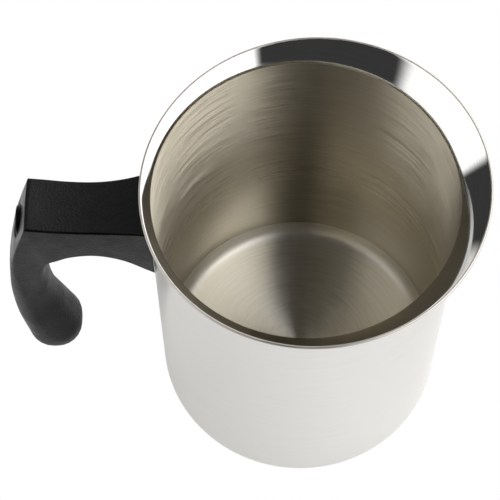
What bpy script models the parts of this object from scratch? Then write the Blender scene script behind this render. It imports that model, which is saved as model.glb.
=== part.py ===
"""Candle melting pot: a deep-drawn steel cup with a flared pouring rim, a layered base and a hook handle.

Metres, +Z up. The origin is the centre of the base, on the surface that the pot stands on. The handle points
towards -X and the pouring side of the rim towards +X.
"""

import math
from collections import namedtuple

import bmesh
import bpy
import numpy as np

MM = 0.001
GAP = 0.3 * MM  # clearance between neighbouring pieces
ARC_STEPS = 6  # segments in the rounded corner of a turned profile
MERGE = 0.00001

# Finishes: colour, roughness, metallic
STEEL = ((0.62, 0.61, 0.58), 0.25, 1.0)
ALUMINIUM = ((0.72, 0.72, 0.73), 0.45, 1.0)
ZINC = ((0.58, 0.59, 0.6), 0.35, 1.0)
GRAINED_BLACK = ((0.02, 0.02, 0.021), 0.5, 0.0)
SMOOTH_BLACK = ((0.01, 0.01, 0.01), 0.3, 0.0)

# Vessel
BODY_RADIUS = 50 * MM
SHEET = 1.0 * MM
FLOOR_UNDERSIDE = 3.8 * MM
BASE_CORNER = 6 * MM
FLARE_START = 124.25 * MM  # height where the wall begins to bend outwards
FLARE_BEND = 1.5 * MM
FLARE_LEAN = math.radians(40)  # from the vertical, at the end of the bend
FLARE_CURVE = 60 * MM  # radius of the flare, which leans further and further out
BLANK_LEAN = math.radians(53)  # of the flare's edge before it is trimmed
RIM_HEIGHT = 130.85 * MM  # of the trimmed edge, over the axis
RIM_SLANT = math.radians(2.7)  # the edge rises towards the pouring side
RIM_ROUND = 0.3 * MM
RIM_SNAP = 0.2 * MM  # points of the flare this close to the trimming plane are moved onto it
BEND_STEPS = 4
CURVE_STEPS = 6
VESSEL_STEPS = 96

# Layered base
CAP_SHEET = 0.5 * MM
CAP_RADIUS = 44 * MM
CAP_CORNER = 1.8 * MM
CAP_ARC_STEPS = 4
CORE_CHAMFER = 1.5 * MM
BASE_STEPS = 72

# Handle fixing, on an axis that runs outwards from the pot's own axis
AXIS_HEIGHT = 106.5 * MM
PLATE_SHEET = 1.2 * MM
PLATE_WIDTH = 16 * MM
PLATE_HEIGHT = 18 * MM
BOSS_SIDE = 10 * MM
BOSS_REACH = 66 * MM
HOLE_REACH = 53 * MM  # depth of the boss's hole, from the pot's axis
SCREW_RADIUS = 2.5 * MM
SCREW_TIP = 54.5 * MM
SCREW_POINT = 0.8 * MM
BORE_RADIUS = 3 * MM
SHOULDER_REACH = 80 * MM  # where the washer bears on the handle
WASHER_THICKNESS = 1.2 * MM
WASHER_RADIUS = 4.6 * MM
WASHER_SPLIT = 0.8 * MM
WASHER_SPLIT_LEAN = math.radians(25)
HEAD_RADIUS = 4.25 * MM
HEAD_HEIGHT = 3.3 * MM
HEAD_CHAMFER = 0.4 * MM
SLOT_WIDTH = 1.2 * MM
SLOT_DEPTH = 1.4 * MM
PLUG_RADIUS = 5.3 * MM
PLUG_INNER = 86.2 * MM
PLUG_OUTER = 93.2 * MM
PLUG_ROUND = 0.6 * MM
PLUG_HOLLOW_RADIUS = 3.6 * MM
PLUG_HOLLOW_DEPTH = 5 * MM
FIXING_STEPS = 32

# Handle. Each station is a section across the grip, in millimetres: its inner and outer point as (x, z), its
# half widths there, the rounding of its edges there, and how far the outer side is crowned. The inner side is
# the one for the fingers.
Station = namedtuple("Station", "inner outer inner_half outer_half inner_round outer_round crown")
STATIONS = (
    Station((-46.0, 89.1), (-46.0, 119.2), 12.2, 12.2, 1.5, 0.8, 0.0),
    Station((-52.0, 92.4), (-52.0, 118.1), 11.1, 11.1, 1.5, 0.8, 0.0),
    Station((-58.0, 96.1), (-58.0, 116.9), 10.2, 10.2, 1.5, 0.8, 0.0),
    Station((-64.0, 98.3), (-64.0, 116.1), 9.7, 9.7, 1.5, 0.8, 0.0),
    Station((-70.0, 98.9), (-70.0, 115.9), 9.5, 9.5, 1.5, 0.8, 0.0),
    Station((-76.5, 97.2), (-77.0, 116.4), 9.5, 9.5, 1.8, 0.8, 0.0),
    Station((-81.0, 94.0), (-83.0, 117.3), 9.4, 9.6, 2.2, 0.8, 0.0),
    Station((-84.0, 91.0), (-89.0, 118.4), 9.0, 9.6, 2.6, 1.0, 0.5),
    Station((-85.6, 87.0), (-91.7, 110.0), 8.5, 9.5, 3.2, 1.2, 0.5),
    Station((-86.5, 82.0), (-94.8, 99.5), 8.0, 9.4, 4.0, 1.6, 0.6),
    Station((-86.9, 76.0), (-97.3, 88.0), 7.7, 9.4, 5.0, 2.6, 0.6),
    Station((-86.8, 66.0), (-99.5, 70.0), 7.5, 9.3, 6.0, 5.0, 0.3),
    Station((-85.7, 55.5), (-100.2, 55.0), 8.1, 9.3, 7.0, 6.5, 0.0),
    Station((-83.2, 46.0), (-99.9, 45.0), 9.2, 9.7, 8.0, 7.5, 0.0),
    Station((-79.0, 32.0), (-98.4, 31.0), 10.3, 10.3, 8.8, 8.8, 0.0),
)
CORNER_STATION = 7  # the sharp outer corner between the stub and the hook
STATION_STEPS = 5
BULB_DEPTH = 9.9
BULB_POWER = 3  # over 2, the free end is blunter than an ellipse
BULB_STEPS = 10
EDGE_STEPS = 6
CROWN_STEPS = 4


def clear_scene():
    for leftover in list(bpy.data.objects):
        bpy.data.objects.remove(leftover, do_unlink=True)


def new_collection(name):
    collection = bpy.data.collections.new(name)
    bpy.context.scene.collection.children.link(collection)
    return collection


def finish_material(name, finish):
    colour, roughness, metallic = finish
    material = bpy.data.materials.new(name)
    material.use_nodes = True
    shader = material.node_tree.nodes["Principled BSDF"]
    shader.inputs["Base Color"].default_value = (*colour, 1.0)
    shader.inputs["Roughness"].default_value = roughness
    shader.inputs["Metallic"].default_value = metallic
    return material


def new_object(name, bm, collection, finish=None):
    mesh = bpy.data.meshes.new(name)
    bm.to_mesh(mesh)
    bm.free()
    mesh.shade_smooth()
    mesh.set_sharp_from_angle(angle=math.radians(40))
    made = bpy.data.objects.new(name, mesh)
    collection.objects.link(made)
    if finish:
        mesh.materials.append(finish_material(name, finish))
    return made


def arc(centre, radius, start, end, steps=ARC_STEPS):
    """Points on an arc in the (radius, height) plane, with angles in degrees from the outward direction."""
    points = []
    for k in range(steps + 1):
        angle = math.radians(start + (end - start) * k / steps)
        points.append((centre[0] + radius * math.cos(angle), centre[1] + radius * math.sin(angle)))
    return points


def turned(name, profile, steps, finish, closed=False):
    """A profile of (radius, height) points, down its outer side, spun about Z."""
    bm = bmesh.new()
    corners = [bm.verts.new((radius, 0, height)) for radius, height in profile]
    for first, second in zip(corners, corners[1:]):
        bm.edges.new((first, second))
    if closed:
        bm.edges.new((corners[-1], corners[0]))
    made = new_object(name, bm, parts, finish)
    spin = made.modifiers.new("spin", "SCREW")
    spin.axis = "Z"
    spin.steps = steps
    spin.render_steps = steps
    spin.use_merge_vertices = True
    spin.merge_threshold = MERGE
    return made


def block(name, low, high, collection, finish=None):
    """A box between two corners."""
    bm = bmesh.new()
    bmesh.ops.create_cube(bm, size=1)
    size = np.subtract(high, low)
    bmesh.ops.scale(bm, vec=size, verts=bm.verts)
    bmesh.ops.translate(bm, vec=np.add(low, high) / 2, verts=bm.verts)
    return new_object(name, bm, collection, finish)


def rod(name, radius, low, high, steps):
    """A cylinder along Z that cuts other pieces."""
    bm = bmesh.new()
    bmesh.ops.create_cone(bm, cap_ends=True, segments=steps, radius1=radius, radius2=radius, depth=high - low)
    bmesh.ops.translate(bm, vec=(0, 0, (low + high) / 2), verts=bm.verts)
    return as_cutter(new_object(name, bm, cutters))


def as_cutter(made):
    made.hide_render = True
    made.display_type = "WIRE"
    return made


def combine(target, other, operation="DIFFERENCE"):
    step = target.modifiers.new(other.name, "BOOLEAN")
    step.operation = operation
    step.object = other


def on_handle_axis(made):
    """Turns a piece made along Z so that its Z runs outwards along the handle's fixing axis."""
    made.parent = handle_axis
    return made


def vessel_profile():
    """The outer surface as (radius, height) points, from the untrimmed edge to the middle of the underside."""
    corner = (BODY_RADIUS - BASE_CORNER, FLOOR_UNDERSIDE + BASE_CORNER)
    bend = (BODY_RADIUS + FLARE_BEND, FLARE_START)
    shift = FLARE_CURVE - FLARE_BEND
    curve = (bend[0] + shift * math.cos(FLARE_LEAN), bend[1] - shift * math.sin(FLARE_LEAN))
    lean = 180 - math.degrees(FLARE_LEAN)
    edge = 180 - math.degrees(BLANK_LEAN)
    profile = arc(curve, FLARE_CURVE, edge, lean, CURVE_STEPS)
    profile += arc(bend, FLARE_BEND, lean, 180, BEND_STEPS)[1:]
    return [*profile, *arc(corner, BASE_CORNER, 0, -90), (0, FLOOR_UNDERSIDE)]


def make_vessel():
    """The outer surface is turned, trimmed on the rim's slant and given the sheet's thickness inwards."""
    bm = bmesh.new()
    line = [bm.verts.new((radius, 0, height)) for radius, height in vessel_profile()]
    edges = [bm.edges.new(pair) for pair in zip(line, line[1:])]
    bmesh.ops.spin(bm, geom=line + edges, axis=(0, 0, 1), angle=2 * math.pi, steps=VESSEL_STEPS)
    bmesh.ops.remove_doubles(bm, verts=bm.verts, dist=MERGE)
    bmesh.ops.bisect_plane(
        bm,
        geom=bm.verts[:] + bm.edges[:] + bm.faces[:],
        dist=RIM_SNAP,
        plane_co=(0, 0, RIM_HEIGHT - SHEET / 2),
        plane_no=(-math.sin(RIM_SLANT), 0, math.cos(RIM_SLANT)),
        use_snap_center=True,
        clear_outer=True,
    )
    vessel = new_object("vessel", bm, parts, STEEL)
    sheet = vessel.modifiers.new("sheet", "SOLIDIFY")
    sheet.thickness = SHEET
    sheet.offset = -1
    sheet.use_even_offset = True
    edge = vessel.modifiers.new("rim_round", "BEVEL")
    edge.limit_method = "ANGLE"
    edge.angle_limit = math.radians(45)
    edge.width = RIM_ROUND
    edge.segments = 2


def make_base():
    top = FLOOR_UNDERSIDE - GAP
    corner = (CAP_RADIUS - CAP_CORNER, CAP_CORNER)
    outside = [(CAP_RADIUS, top), *arc(corner, CAP_CORNER, 0, -90, CAP_ARC_STEPS), (0, 0)]
    hollow = arc(corner, CAP_CORNER - CAP_SHEET, -90, 0, CAP_ARC_STEPS)
    inside = [(0, CAP_SHEET), *hollow, (CAP_RADIUS - CAP_SHEET, top)]
    turned("base_cap", inside + outside, BASE_STEPS, STEEL)
    edge = CAP_RADIUS - CAP_SHEET - GAP
    bottom = CAP_SHEET + GAP
    core = [(0, top), (edge, top), (edge, bottom + CORE_CHAMFER), (edge - CORE_CHAMFER, bottom), (0, bottom)]
    turned("base_core", core, BASE_STEPS, ALUMINIUM)


def make_bracket():
    inner = BODY_RADIUS + GAP
    low = (-BODY_RADIUS - 5 * MM, -PLATE_WIDTH / 2, AXIS_HEIGHT - PLATE_HEIGHT / 2)
    high = (-BODY_RADIUS + 5 * MM, PLATE_WIDTH / 2, AXIS_HEIGHT + PLATE_HEIGHT / 2)
    bracket = block("handle_bracket", low, high, parts, STEEL)
    bottom, top = low[2] - MM, high[2] + MM
    combine(bracket, rod("plate_outside", inner + PLATE_SHEET, bottom, top, VESSEL_STEPS), "INTERSECT")
    boss_low = (-BOSS_REACH, -BOSS_SIDE / 2, AXIS_HEIGHT - BOSS_SIDE / 2)
    boss_high = (-BODY_RADIUS, BOSS_SIDE / 2, AXIS_HEIGHT + BOSS_SIDE / 2)
    combine(bracket, as_cutter(block("boss", boss_low, boss_high, cutters)), "UNION")
    combine(bracket, rod("wall_clearance", inner, bottom, top, VESSEL_STEPS))
    hole = rod("boss_hole", SCREW_RADIUS + GAP, HOLE_REACH, BOSS_REACH + MM, FIXING_STEPS)
    combine(bracket, on_handle_axis(hole))


def smooth_rows(rows, corner=None):
    """Rows of numbers with more rows between them, on a curve that turns sharply at the corner row."""
    rows = np.array(rows, float)
    last = len(rows) - 1
    filled = []
    for i in range(last):
        start, end = rows[i], rows[i + 1]
        before = 2 * start - end if i in (0, corner) else rows[i - 1]
        after = 2 * end - start if i + 1 in (last, corner) else rows[i + 2]
        for k in range(STATION_STEPS):
            t = k / STATION_STEPS
            bend = (2 * before - 5 * start + 4 * end - after) * t**2
            twist = (3 * start - before - 3 * end + after) * t**3
            filled.append((2 * start + (end - before) * t + bend + twist) / 2)
    filled.append(rows[last])
    return filled


def section(inner, outer, sizes):
    """A ring of points round a section: the inner corners, then the outer ones with the crown between."""
    inner_half, outer_half, inner_round, outer_round, crown = sizes
    depth = np.linalg.norm(outer - inner)
    along = (outer - inner) / depth
    flat = outer_half - outer_round
    outline = arc((inner_round, inner_round - inner_half), inner_round, 270, 180, EDGE_STEPS)
    outline += arc((inner_round, inner_half - inner_round), inner_round, 180, 90, EDGE_STEPS)
    outline += arc((depth - outer_round, flat), outer_round, 90, 0, EDGE_STEPS)
    for k in range(1, CROWN_STEPS):
        side = 1 - 2 * k / CROWN_STEPS
        outline.append((depth + crown * (1 - side**2), flat * side))
    outline += arc((depth - outer_round, -flat), outer_round, 0, -90, EDGE_STEPS)
    ring = []
    for reach, side in outline:
        x, z = inner + along * reach
        ring.append((x, side, z))
    return np.array(ring)


def handle_rings():
    inner = smooth_rows([station.inner for station in STATIONS])
    outer = smooth_rows([station.outer for station in STATIONS], CORNER_STATION)
    sizes = smooth_rows([station[2:] for station in STATIONS])
    rings = [section(*row) for row in zip(inner, outer, sizes)]
    middle = np.array([(inner[-1][0] + outer[-1][0]) / 2, 0, (inner[-1][1] + outer[-1][1]) / 2])
    across = (outer[-1] - inner[-1]) / np.linalg.norm(outer[-1] - inner[-1])
    down = np.array([-across[1], 0, across[0]])
    rim = rings[-1]
    for k in range(1, BULB_STEPS):
        angle = math.pi / 2 * k / BULB_STEPS
        width = math.cos(angle) ** (2 / BULB_POWER)
        depth = math.sin(angle) ** (2 / BULB_POWER) * BULB_DEPTH
        rings.append(middle + (rim - middle) * width + down * depth)
    return rings, middle + down * BULB_DEPTH


def make_handle():
    rings, tip = handle_rings()
    bm = bmesh.new()
    loops = [[bm.verts.new(point * MM) for point in ring] for ring in rings]
    end = bm.verts.new(tip * MM)
    count = len(loops[0])
    bm.faces.new(loops[0])
    for first, second in zip(loops, loops[1:]):
        for k in range(count):
            after = (k + 1) % count
            bm.faces.new((first[k], first[after], second[after], second[k]))
    for k in range(count):
        bm.faces.new((loops[-1][k], loops[-1][(k + 1) % count], end))
    bmesh.ops.recalc_face_normals(bm, faces=bm.faces)
    handle = new_object("handle", bm, parts, GRAINED_BLACK)

    combine(handle, rod("wall_relief", BODY_RADIUS + GAP, AXIS_HEIGHT / 2, RIM_HEIGHT, VESSEL_STEPS))
    plate_floor = BODY_RADIUS + GAP + PLATE_SHEET + GAP
    half_width, half_height = PLATE_WIDTH / 2 + GAP, PLATE_HEIGHT / 2 + GAP
    low = (-plate_floor, -half_width, AXIS_HEIGHT - half_height)
    high = (-plate_floor + 10 * MM, half_width, AXIS_HEIGHT + half_height)
    combine(handle, as_cutter(block("plate_pocket", low, high, cutters)))
    half = BOSS_SIDE / 2 + GAP
    low = (-BOSS_REACH - GAP, -half, AXIS_HEIGHT - half)
    high = (-BODY_RADIUS, half, AXIS_HEIGHT + half)
    combine(handle, as_cutter(block("boss_socket", low, high, cutters)))
    bore = rod("screw_bore", BORE_RADIUS, BOSS_REACH - MM, SHOULDER_REACH + MM, FIXING_STEPS)
    combine(handle, on_handle_axis(bore))
    well = rod("plug_well", PLUG_RADIUS + GAP, SHOULDER_REACH, PLUG_OUTER + 10 * MM, FIXING_STEPS)
    combine(handle, on_handle_axis(well))


def make_screw():
    under = SHOULDER_REACH + GAP + WASHER_THICKNESS + GAP
    top = under + HEAD_HEIGHT
    profile = [
        (0, top),
        (HEAD_RADIUS - HEAD_CHAMFER, top),
        (HEAD_RADIUS, top - HEAD_CHAMFER),
        (HEAD_RADIUS, under),
        (SCREW_RADIUS, under),
        (SCREW_RADIUS, SCREW_TIP + SCREW_POINT),
        (SCREW_RADIUS - SCREW_POINT, SCREW_TIP),
        (0, SCREW_TIP),
    ]
    screw = on_handle_axis(turned("handle_screw", profile, FIXING_STEPS, ZINC))
    low = (-HEAD_RADIUS * 2, -SLOT_WIDTH / 2, top - SLOT_DEPTH)
    high = (HEAD_RADIUS * 2, SLOT_WIDTH / 2, top + MM)
    combine(screw, on_handle_axis(as_cutter(block("driver_slot", low, high, cutters))))


def make_washer():
    low = SHOULDER_REACH + GAP
    high = low + WASHER_THICKNESS
    hole = SCREW_RADIUS + GAP
    profile = [(WASHER_RADIUS, high), (WASHER_RADIUS, low), (hole, low), (hole, high)]
    washer = on_handle_axis(turned("spring_washer", profile, FIXING_STEPS, ZINC, closed=True))
    split = block(
        "washer_split",
        (0, -WASHER_SPLIT / 2, -3 * WASHER_THICKNESS),
        (2 * WASHER_RADIUS, WASHER_SPLIT / 2, 3 * WASHER_THICKNESS),
        cutters,
    )
    split.location.z = (low + high) / 2
    split.rotation_euler.x = WASHER_SPLIT_LEAN
    combine(washer, on_handle_axis(as_cutter(split)))


def make_plug():
    rounding = (PLUG_RADIUS - PLUG_ROUND, PLUG_OUTER - PLUG_ROUND)
    hollow_top = PLUG_INNER + PLUG_HOLLOW_DEPTH
    profile = [
        (0, PLUG_OUTER),
        *arc(rounding, PLUG_ROUND, 90, 0, EDGE_STEPS),
        (PLUG_RADIUS, PLUG_INNER + PLUG_ROUND),
        (PLUG_RADIUS - PLUG_ROUND, PLUG_INNER),
        (PLUG_HOLLOW_RADIUS, PLUG_INNER),
        (PLUG_HOLLOW_RADIUS, hollow_top),
        (0, hollow_top),
    ]
    on_handle_axis(turned("screw_plug", profile, FIXING_STEPS, SMOOTH_BLACK))


clear_scene()
parts = new_collection("candle_melting_pot")
cutters = new_collection("cutters")

handle_axis = bpy.data.objects.new("handle_axis", None)
parts.objects.link(handle_axis)
handle_axis.location.z = AXIS_HEIGHT
handle_axis.rotation_euler.y = -math.pi / 2

make_vessel()
make_base()
make_bracket()
make_handle()
make_screw()
make_washer()
make_plug()
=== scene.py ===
"""The look of the candle melting pot: fine meshes, finishes, studio light and the photograph's camera."""

import math

import bmesh
import bpy
from mathutils import Matrix, Vector


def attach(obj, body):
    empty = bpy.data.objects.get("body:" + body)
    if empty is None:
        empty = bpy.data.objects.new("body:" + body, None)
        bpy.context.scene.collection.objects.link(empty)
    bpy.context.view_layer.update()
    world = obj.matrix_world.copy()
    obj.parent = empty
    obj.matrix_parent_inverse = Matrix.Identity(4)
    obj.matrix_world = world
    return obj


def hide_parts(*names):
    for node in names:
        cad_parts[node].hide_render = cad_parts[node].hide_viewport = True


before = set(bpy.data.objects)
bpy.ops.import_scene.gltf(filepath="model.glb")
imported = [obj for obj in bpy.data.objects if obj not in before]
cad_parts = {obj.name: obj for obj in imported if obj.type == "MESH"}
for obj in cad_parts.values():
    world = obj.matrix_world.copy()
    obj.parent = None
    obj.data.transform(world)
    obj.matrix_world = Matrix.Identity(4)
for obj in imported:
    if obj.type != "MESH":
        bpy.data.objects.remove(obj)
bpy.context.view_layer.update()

MM = 0.001

# Vessel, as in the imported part
BODY_RADIUS = 50 * MM
SHEET = 1 * MM
FLOOR_UNDERSIDE = 3.8 * MM
BASE_CORNER = 6 * MM
FLARE_START = 124.25 * MM
FLARE_BEND = 1.5 * MM
FLARE_LEAN = math.radians(40)
FLARE_CURVE = 60 * MM
RIM_HEIGHT = 130.85 * MM
RIM_SLANT = math.radians(2.7)

# Fineness of the meshes
VESSEL_SEGMENTS = 192
CORNER_STEPS = 10
BEND_STEPS = 8
CURVE_STEPS = 12
LIP_STEPS = 8
SUPPORT = 0.4 * MM  # distance of the extra ring that keeps flats flat beside a rounded corner
MERGE = 0.001 * MM
SHARP_ANGLE = math.radians(35)  # edges that turn by more than this stay sharp

# Brush marks on the steel and grain of the black mouldings
BRUSH_PITCH = 0.8 * MM  # spacing of the brush marks
BRUSH_TURN = 2.2  # marks in a radian round the axis
QUARTER_TURN = 0.25  # sets the stretched highlights across the brush marks
WALL_FADE = (25 * MM, 120 * MM)  # heights between which the inside wall grows rougher
FLARE_FADE = (FLARE_START, FLARE_START + 2.5 * MM)  # heights between which the flare becomes a mirror
NOISE_RANGE = (0.3, 0.7)  # a noise texture's values are cut off below and above these
GRAIN_SHADE_AND_LIGHT = (0.5, 1.6)  # shares of the colour at the bottom and the top of the sand grain
CLOUD_SCALE = 0.12  # shares of the colour at the bottom and the top of the sand grain, painted shade in its pits and painted light on its tops
CLOUD_GLOSS = 0.06  # how far the clouds vary the roughness

# Handle: its end face is smoother than the rest and reflects more strongly, which is painted light for the
# light that falls on it; the top edges are rubbed smooth, and their darker colour and weaker reflection
# paint a dark line, a painted reflection of the dark room in front
END_FOOT = 93 * MM  # the end face, smoother and more strongly reflecting as painted light, lies above this height
END_FACING = -0.85  # greatest x of the end face's normals, which point along -x
EDGE_FOOT = 113 * MM  # the rubbed edges, painted darker, lie above this height
EDGE_FACING = (0.25, 0.97)  # sideways share of the top edges' normals

# Studio: walls of light on the left and right of a dark room, which stays open overhead and in front
OVERHEAD_GAP = (-0.47, 0.25)  # the walls' top edges, sideways per share of a direction that points up
FRONT_GAP = (-1.38, 0.55)  # the walls' front edges, sideways per share that points to the front
FRONT_TOP = 0.7  # height where the gap in front begins to close
FRONT_CLOSING = 1.5  # how fast it closes
EDGE_BLUR = (0.15, 0.07)  # softness of the left and the right wall's edges
SIDE_BLUR = 0.07  # where the left half of the room meets the right half
BACK_GAP = (0.33, 0.77)  # dark from this far back to this far back, between the left wall and the backdrop
BACK_GAP_SIDE = (-0.35, -0.45)  # the dark fades in between these places on the left
BACK_BLUR = 0.04
BACKDROP = (0.85, 0.82, 0.78, 1)
LEFT_WALL = (1.4, 1.4, 1.4, 1)
RIGHT_WALL = (2.2, 2.2, 2.2, 1)
ROOM = (0.045, 0.046, 0.046, 1)
WHITE = (1, 1, 1, 1)
PAPER = (0.9, 0.9, 0.9, 1)
TABLE_RADIUS = 4
TABLE_SEGMENTS = 64
TABLE_SHINE = 0.4  # how much of the table's reflection is plain white, without its shadows

# Camera of the photograph
CAMERA_PLACE = Vector((-13.66, -261.77, 618.27)) * MM
CAMERA_ELEVATION = math.radians(63.833)
CAMERA_TURN = math.radians(0.9)
CAMERA_ROLL = math.radians(-0.645)
CAMERA_LENS = 127.73
CAMERA_SENSOR = 36


def arc(centre, radius, start, end, steps):
    """Points on an arc in the (radius, height) plane, with angles from the outward direction."""
    points = []
    for k in range(steps + 1):
        angle = start + (end - start) * k / steps
        points.append(centre + Vector((math.cos(angle), math.sin(angle))) * radius)
    return points


def lip_angle(curve_centre, direction):
    """Where on the flare's arc the round lip is centred, so that its top touches the slanted rim plane."""
    radius = FLARE_CURVE + SHEET / 2
    slant = math.atan(math.tan(RIM_SLANT) * math.cos(direction))
    rise = RIM_HEIGHT - SHEET / 2 - curve_centre.y + math.tan(slant) * curve_centre.x
    return math.pi + slant - math.asin(rise * math.cos(slant) / radius)


def vessel_outline(direction):
    """The section on the side at that angle, as points of the floor, wall, flare, lip and outside."""
    corner = Vector((BODY_RADIUS - BASE_CORNER, FLOOR_UNDERSIDE + BASE_CORNER))
    bend_centre = Vector((BODY_RADIUS + FLARE_BEND, FLARE_START))
    bend = math.pi - FLARE_LEAN
    curve_centre = arc(bend_centre, FLARE_BEND - FLARE_CURVE, bend, bend, 1)[0]
    edge = lip_angle(curve_centre, direction)
    lip_centre = arc(curve_centre, FLARE_CURVE + SHEET / 2, edge, edge, 1)[0]
    across, up = Vector((SUPPORT, 0)), Vector((0, SUPPORT))

    bowl = arc(corner, BASE_CORNER - SHEET, -math.pi / 2, 0, CORNER_STEPS)
    floor = [bowl[0] - across, *bowl]
    wall = [bowl[-1] + up, Vector((BODY_RADIUS - SHEET, FLARE_START)) - up]
    flare = arc(bend_centre, FLARE_BEND + SHEET, math.pi, bend, BEND_STEPS)[:-1]
    flare += arc(curve_centre, FLARE_CURVE + SHEET, bend, edge, CURVE_STEPS)[:-1]
    lip = arc(lip_centre, SHEET / 2, edge, edge - math.pi, LIP_STEPS)
    outside = arc(curve_centre, FLARE_CURVE, edge, bend, CURVE_STEPS)[1:]
    outside += arc(bend_centre, FLARE_BEND, bend, math.pi, BEND_STEPS)[1:]
    foot = arc(corner, BASE_CORNER, 0, -math.pi / 2, CORNER_STEPS)
    outside += [outside[-1] - up, foot[0] + up, *foot, foot[-1] - across]
    return floor, wall, flare, lip, outside


def new_object(name, bm, materials):
    mesh = bpy.data.meshes.new(name)
    bm.to_mesh(mesh)
    bm.free()
    for material in materials:
        mesh.materials.append(material)
    made = bpy.data.objects.new(name, mesh)
    bpy.context.scene.collection.objects.link(made)
    return made


def new_piece(name, bm, node, materials):
    piece = new_object(name, bm, materials)
    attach(piece, "root")
    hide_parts(node)
    return piece


def make_vessel(*stretch_materials):
    """The cup, turned from an outline that changes round the slanted rim, with a material for each stretch;
    the floor's lighter colour is painted light and the inside wall's darker, browner colour painted shade.
    """
    bm = bmesh.new()
    rings = []
    for k in range(VESSEL_SEGMENTS):
        angle = 2 * math.pi * k / VESSEL_SEGMENTS
        stretches = vessel_outline(angle)
        around = Vector((math.cos(angle), math.sin(angle), 0))
        up = Vector((0, 0, 1))
        rings.append([bm.verts.new(around * p.x + up * p.y) for stretch in stretches for p in stretch])
    stretch_of = [i for i, stretch in enumerate(stretches) for _ in stretch]
    top = bm.verts.new((0, 0, FLOOR_UNDERSIDE + SHEET))
    bottom = bm.verts.new((0, 0, FLOOR_UNDERSIDE))
    for here, after in zip(rings, rings[1:] + rings[:1]):
        bm.faces.new((top, here[0], after[0]))
        for i in range(len(here) - 1):
            face = bm.faces.new((here[i], here[i + 1], after[i + 1], after[i]))
            face.material_index = stretch_of[i]
        under = bm.faces.new((bottom, after[-1], here[-1]))
        under.material_index = stretch_of[-1]
    for face in bm.faces:
        face.smooth = True
    return new_piece("vessel_skin", bm, "vessel", stretch_materials)


def dress(node, material):
    """A smooth-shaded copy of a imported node, with its facets joined."""
    bm = bmesh.new()
    bm.from_mesh(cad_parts[node].data)
    bmesh.ops.remove_doubles(bm, verts=bm.verts, dist=MERGE)
    piece = new_piece(node + "_skin", bm, node, [material])
    piece.data.shade_smooth()
    piece.data.set_sharp_from_angle(angle=SHARP_ANGLE)
    return piece


def give_own_material(piece, material, chosen):
    """Gives the faces for which chosen(centre, normal) holds a material of their own."""
    piece.data.materials.append(material)
    for face in piece.data.polygons:
        if chosen(face.center, face.normal):
            face.material_index = len(piece.data.materials) - 1


def on_end_face(centre, normal):
    return centre.z > END_FOOT and normal.x < END_FACING


def on_top_edge(centre, normal):
    low, high = EDGE_FACING
    return centre.z > EDGE_FOOT and low < abs(normal.y) < high


class Nodes:
    """Short calls to add nodes to a material's or world's tree and link them."""

    def __init__(self, tree):
        self.tree = tree

    def add(self, kind, inputs=None, **settings):
        node = self.tree.nodes.new(kind)
        for name, value in settings.items():
            setattr(node, name, value)
        for key, value in (inputs or {}).items():
            self.put(node.inputs[key], value)
        return node

    def put(self, socket, value):
        if isinstance(value, bpy.types.NodeSocket):
            self.tree.links.new(value, socket)
        else:
            socket.default_value = value

    def math(self, operation, *values):
        return self.add("ShaderNodeMath", dict(enumerate(values)), operation=operation).outputs[0]

    def noise(self, vector, scale, detail):
        inputs = {"Vector": vector, "Scale": scale, "Detail": detail}
        return self.add("ShaderNodeTexNoise", inputs).outputs["Fac"]

    def spread(self, value, low, high, to_low=0.0, to_high=1.0, smooth=False):
        """value from low to high, mapped to the range from to_low to to_high."""
        kind = "SMOOTHSTEP" if smooth else "LINEAR"
        inputs = {"Value": value, "From Min": low, "From Max": high, "To Min": to_low, "To Max": to_high}
        return self.add("ShaderNodeMapRange", inputs, interpolation_type=kind).outputs["Result"]

    def blend(self, share, first, second):
        """The first colour, changing to the second as share goes from 0 to 1."""
        return self.add("ShaderNodeMix", {0: share, 6: first, 7: second}, data_type="RGBA").outputs[2]


def empty_nodes(owner):
    """The cleared node tree of a material or world."""
    owner.use_nodes = True
    owner.node_tree.nodes.clear()
    return Nodes(owner.node_tree)


def new_material(name):
    material = bpy.data.materials.new(name)
    material.use_nodes = True
    shader = material.node_tree.nodes["Principled BSDF"]
    return material, Nodes(material.node_tree), shader


def tinted(colour, shares):
    return [tuple(c * share for c in colour) + (1.0,) for share in shares]


def turned_space(nodes):
    """(lathe direction, coordinates for marks that run round the pot's axis, height)."""
    place = nodes.add("ShaderNodeTexCoord").outputs["Object"]
    x, y, z = nodes.add("ShaderNodeSeparateXYZ", {0: place}).outputs
    flat = nodes.add("ShaderNodeCombineXYZ", {"X": x, "Y": y})
    radius = nodes.add("ShaderNodeVectorMath", {0: flat.outputs[0]}, operation="LENGTH").outputs["Value"]
    around = nodes.add("ShaderNodeVectorMath", {0: flat.outputs[0]}, operation="NORMALIZE").outputs["Vector"]
    cos, sin, _ = nodes.add("ShaderNodeSeparateXYZ", {0: around}).outputs
    tangent = nodes.add("ShaderNodeCombineXYZ", {"X": nodes.math("MULTIPLY", sin, -1), "Y": cos}).outputs[0]
    along = nodes.math("MULTIPLY", nodes.math("ADD", z, radius), 1 / BRUSH_PITCH)
    turns = [nodes.math("MULTIPLY", share, BRUSH_TURN) for share in (cos, sin)]
    stretched = nodes.add("ShaderNodeCombineXYZ", {"X": turns[0], "Y": turns[1], "Z": along}).outputs[0]
    return tangent, stretched, z


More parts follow.
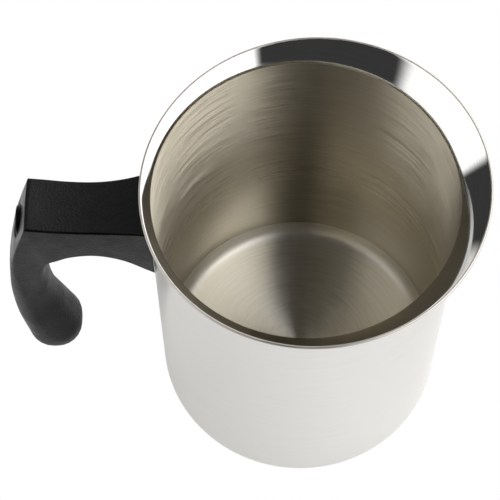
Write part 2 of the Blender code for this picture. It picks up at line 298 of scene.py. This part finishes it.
def steel(name, colour, roughness, anisotropic, brush, heights=(0, 1)):
    """Metal with brush marks round the axis.

    roughness is given for the lower and the upper of the heights. brush is how far the marks vary the colour
    and the roughness.
    """
    material, nodes, shader = new_material(name)
    tangent, stretched, height = turned_space(nodes)
    marks = nodes.spread(nodes.noise(stretched, scale=1.0, detail=3.0), *NOISE_RANGE)
    shader.inputs["Metallic"].default_value = 1.0
    shader.inputs["Anisotropic"].default_value = anisotropic
    shader.inputs["Anisotropic Rotation"].default_value = QUARTER_TURN
    nodes.put(shader.inputs["Tangent"], tangent)
    tints = tinted(colour, (1 - brush / 2, 1 + brush / 2))
    nodes.put(shader.inputs["Base Color"], nodes.blend(marks, *tints))
    level = nodes.spread(height, *heights, *roughness, smooth=True)
    vary = nodes.spread(marks, 0, 1, 1 - brush, 1 + brush)
    nodes.put(shader.inputs["Roughness"], nodes.math("MULTIPLY", level, vary))
    return material


def moulded_black(name, colour, roughness, specular, grain, depth):
    """Black moulded plastic with a fine sand grain of that size and depth."""
    material, nodes, shader = new_material(name)
    place = nodes.add("ShaderNodeTexCoord").outputs["Object"]
    sand = nodes.noise(place, scale=1 / grain, detail=3.0)
    cloud = nodes.noise(place, scale=CLOUD_SCALE / grain, detail=2.0)
    # The grain's colour follows its bump: darker in the pits and lighter on the tops, painted shade and
    # painted light.
    tints = tinted(colour, GRAIN_SHADE_AND_LIGHT)
    nodes.put(shader.inputs["Base Color"], nodes.blend(nodes.spread(sand, *NOISE_RANGE), *tints))
    gloss = nodes.spread(cloud, *NOISE_RANGE, roughness - CLOUD_GLOSS, roughness + CLOUD_GLOSS)
    nodes.put(shader.inputs["Roughness"], gloss)
    shader.inputs["Specular IOR Level"].default_value = specular
    bump = nodes.add("ShaderNodeBump", {"Height": sand, "Distance": depth, "Strength": 1.0})
    nodes.put(shader.inputs["Normal"], bump.outputs[0])
    return material


def make_camera():
    data = bpy.data.cameras.new("camera")
    data.lens = CAMERA_LENS
    data.sensor_width = CAMERA_SENSOR
    camera = bpy.data.objects.new("camera", data)
    bpy.context.scene.collection.objects.link(camera)
    tilt = Matrix.Rotation(math.pi / 2 - CAMERA_ELEVATION, 4, "X")
    turn = Matrix.Rotation(CAMERA_TURN, 4, "Z")
    roll = Matrix.Rotation(CAMERA_ROLL, 4, "Z")
    camera.matrix_world = Matrix.Translation(CAMERA_PLACE) @ turn @ tilt @ roll
    bpy.context.scene.camera = camera


def make_floor():
    """A wide white table, plain white to the camera and partly so in reflections, where its shadows show."""
    material = bpy.data.materials.new("white_table")
    nodes = empty_nodes(material)
    paper = nodes.add("ShaderNodeBsdfDiffuse", {"Color": PAPER}).outputs[0]
    white = nodes.add("ShaderNodeEmission", {"Color": WHITE, "Strength": 1.0}).outputs[0]
    path = nodes.add("ShaderNodeLightPath").outputs
    mirrored = nodes.math("MAXIMUM", path["Is Glossy Ray"], path["Is Transmission Ray"])
    plain = nodes.math("MULTIPLY_ADD", mirrored, TABLE_SHINE, path["Is Camera Ray"])
    mix = nodes.add("ShaderNodeMixShader", {0: plain, 1: paper, 2: white}).outputs[0]
    nodes.add("ShaderNodeOutputMaterial", {"Surface": mix})
    bm = bmesh.new()
    bmesh.ops.create_circle(bm, cap_ends=True, segments=TABLE_SEGMENTS, radius=TABLE_RADIUS)
    floor = new_object("table", bm, [material])


def make_surround():
    """White walls of light on the left and right of a dark room, which is plain white to the camera."""
    world = bpy.data.worlds.new("studio")
    bpy.context.scene.world = world
    nodes = empty_nodes(world)
    direction = nodes.add("ShaderNodeTexCoord").outputs["Generated"]
    x, y, z = nodes.add("ShaderNodeSeparateXYZ", {0: direction}).outputs

    above = nodes.math("MAXIMUM", nodes.math("SUBTRACT", z, FRONT_TOP), 0)
    closing = nodes.math("MULTIPLY", above, FRONT_CLOSING)
    past = []
    for side, overhead, front, blur in zip((-1, 1), OVERHEAD_GAP, FRONT_GAP, EDGE_BLUR):
        top_edge = nodes.math("MULTIPLY", z, side * overhead)
        front_edge = nodes.math("SUBTRACT", nodes.math("MULTIPLY", y, -side * front), closing)
        edge = nodes.math("MAXIMUM", top_edge, front_edge)
        reach = nodes.math("SUBTRACT", nodes.math("MULTIPLY", x, side), edge)
        past.append(nodes.spread(reach, -blur, blur, smooth=True))
    wall = nodes.math("MAXIMUM", *past)
    right = nodes.spread(x, -SIDE_BLUR, SIDE_BLUR)
    walls = nodes.blend(right, LEFT_WALL, RIGHT_WALL)

    left = nodes.spread(x, *BACK_GAP_SIDE)
    behind, beyond = [nodes.spread(y, edge - BACK_BLUR, edge + BACK_BLUR, smooth=True) for edge in BACK_GAP]
    back_left = nodes.blend(beyond, ROOM, BACKDROP)
    level = nodes.blend(nodes.math("MULTIPLY", left, behind), nodes.blend(wall, ROOM, walls), back_left)

    room = nodes.add("ShaderNodeBackground", {"Color": level, "Strength": 1.0}).outputs[0]
    white = nodes.add("ShaderNodeBackground", {"Color": WHITE, "Strength": 1.0}).outputs[0]
    camera = nodes.add("ShaderNodeLightPath").outputs["Is Camera Ray"]
    shown = nodes.add("ShaderNodeMixShader", {0: camera, 1: room, 2: white}).outputs[0]
    nodes.add("ShaderNodeOutputWorld", {"Surface": shown})


# The floor's colour is lighter and more neutral than the wall's and the outside's: painted light on the
# floor.
floor_steel = steel(
    "floor_steel",
    colour=(0.84, 0.815, 0.75),
    roughness=(0.33, 0.33),
    anisotropic=0.96,
    brush=0.14,
)
# The inside wall's colour is darker and browner than the floor's and the outside's: painted shade inside the
# pot.
wall_steel = steel(
    "wall_steel",
    colour=(0.6, 0.55, 0.45),
    roughness=(0.2, 0.55),
    anisotropic=0.97,
    brush=0.25,
    heights=WALL_FADE,
)
flare_steel = steel(
    "flare_steel",
    colour=(0.74, 0.735, 0.72),
    roughness=(0.3, 0.04),
    anisotropic=0.0,
    brush=0.1,
    heights=FLARE_FADE,
)
lip_steel = steel(
    "lip_steel",
    colour=(0.56, 0.53, 0.49),
    roughness=(0.4, 0.4),
    anisotropic=0.0,
    brush=0.1,
)
outside_steel = steel(
    "outside_steel",
    colour=(0.8, 0.785, 0.755),
    roughness=(0.3, 0.3),
    anisotropic=0.6,
    brush=0.04,
)
hidden_steel = steel(
    "hidden_steel",
    colour=(0.67, 0.635, 0.545),
    roughness=(0.4, 0.4),
    anisotropic=0.3,
    brush=0.3,
)
mill_aluminium = steel(
    "mill_aluminium",
    colour=(0.75, 0.75, 0.76),
    roughness=(0.45, 0.45),
    anisotropic=0.3,
    brush=0.3,
)
zinc = steel(
    "zinc",
    colour=(0.6, 0.61, 0.62),
    roughness=(0.35, 0.35),
    anisotropic=0.0,
    brush=0.3,
)
# The handle's weak reflection is painted shade that keeps its top dark.
handle_black = moulded_black(
    "handle_black",
    colour=(0.0055, 0.0056, 0.0057),
    roughness=0.4,
    specular=0.165,
    grain=0.6 * MM,
    depth=0.2 * MM,
)
# The end face reflects more strongly than the rest of the handle: painted light for the light that falls on
# it.
end_black = moulded_black(
    "end_black",
    colour=(0.006, 0.006, 0.0062),
    roughness=0.35,
    specular=0.4,
    grain=0.6 * MM,
    depth=0.06 * MM,
)
# Rubbed top edges: smoother, and their darker colour and weaker reflection are a painted reflection of the
# dark room in front, a dark line along the edges.
edge_black = moulded_black(
    "edge_black",
    colour=(0.002, 0.002, 0.002),
    roughness=0.2,
    specular=0.1,
    grain=0.5 * MM,
    depth=0.01 * MM,
)
plug_black = moulded_black(
    "plug_black",
    colour=(0.002, 0.002, 0.002),
    roughness=0.35,
    specular=0.1,
    grain=0.4 * MM,
    depth=0.01 * MM,
)

make_vessel(floor_steel, wall_steel, flare_steel, lip_steel, outside_steel)
handle = dress("handle", handle_black)
give_own_material(handle, end_black, on_end_face)
give_own_material(handle, edge_black, on_top_edge)
dress("screw_plug", plug_black)
dress("base_cap", outside_steel)
dress("base_core", mill_aluminium)
dress("handle_bracket", hidden_steel)
dress("handle_screw", zinc)
dress("spring_washer", zinc)

make_floor()
make_surround()
make_camera()
bpy.context.scene.view_settings.view_transform = "Standard"
